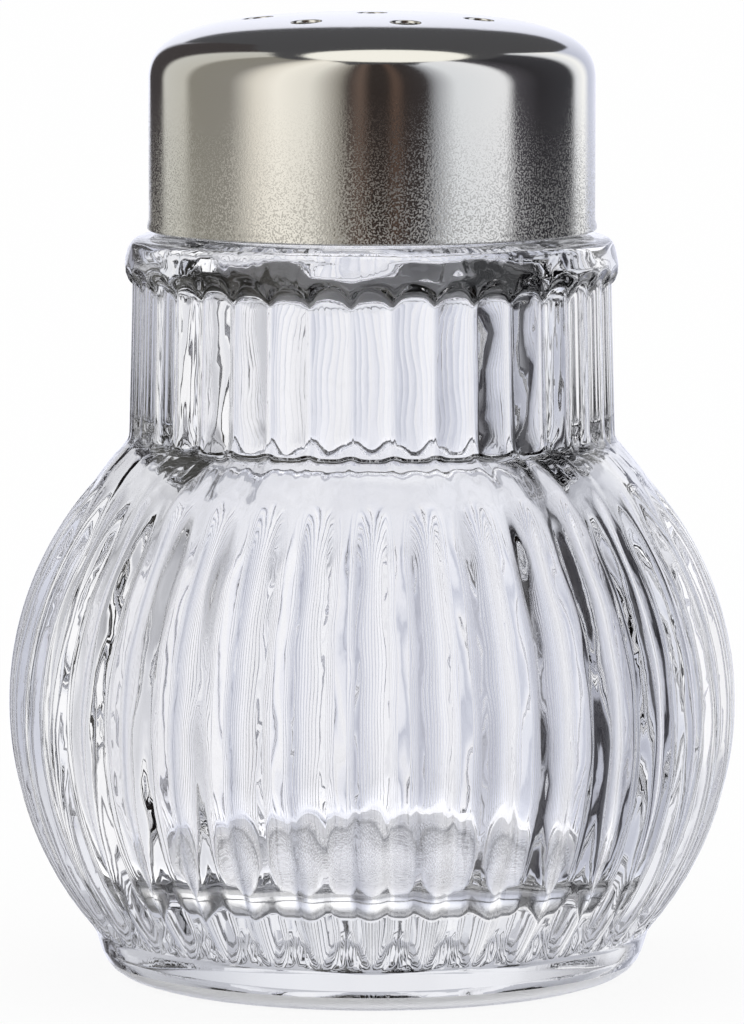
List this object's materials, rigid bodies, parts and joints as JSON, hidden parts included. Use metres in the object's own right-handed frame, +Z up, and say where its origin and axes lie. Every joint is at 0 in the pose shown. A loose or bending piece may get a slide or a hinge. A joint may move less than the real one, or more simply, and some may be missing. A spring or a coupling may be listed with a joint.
{
  "type": "spice shaker",
  "caption": "Ribbed glass spice shaker: round ribbed bulb and neck, and a screwed metal cap with a round-edged, pierced top over a threaded liner.",
  "frame": {"origin": "middle of the foot, on the surface that the shaker stands on", "axes": "+Z up along the axis of jar and cap; the ribs are symmetric about X and Y"},
  "size_m": [0.052, 0.052, 0.0687],
  "materials": {
    "clear_glass": "pressed clear glass, fire-polished",
    "satin_metal": "fine satin, drawn and plated",
    "white_plastic": "moulded",
    "soft_seal": "matt"
  },
  "bodies": {
    "jar": {"glass_jar": "clear_glass"},
    "seal": {"sealing_ring": "soft_seal"},
    "cap": {"cap_shell": "satin_metal", "cap_liner": "white_plastic"}
  },
  "joints": [
    {"name": "cap_lift", "type": "slide", "parent": "jar", "child": "seal", "axis": [0, 0, 1], "range_m": [0, 0.0128]},
    {"name": "cap_turn", "type": "hinge", "parent": "seal", "child": "cap", "pos_m": [0, 0, 0.0662], "axis": [0, 0, 1], "range_deg": [0, 1440]}
  ],
  "couplings": [
    {"joint": "cap_lift", "follows": "cap_turn", "m_per_rad": 0.00050929}
  ]
}
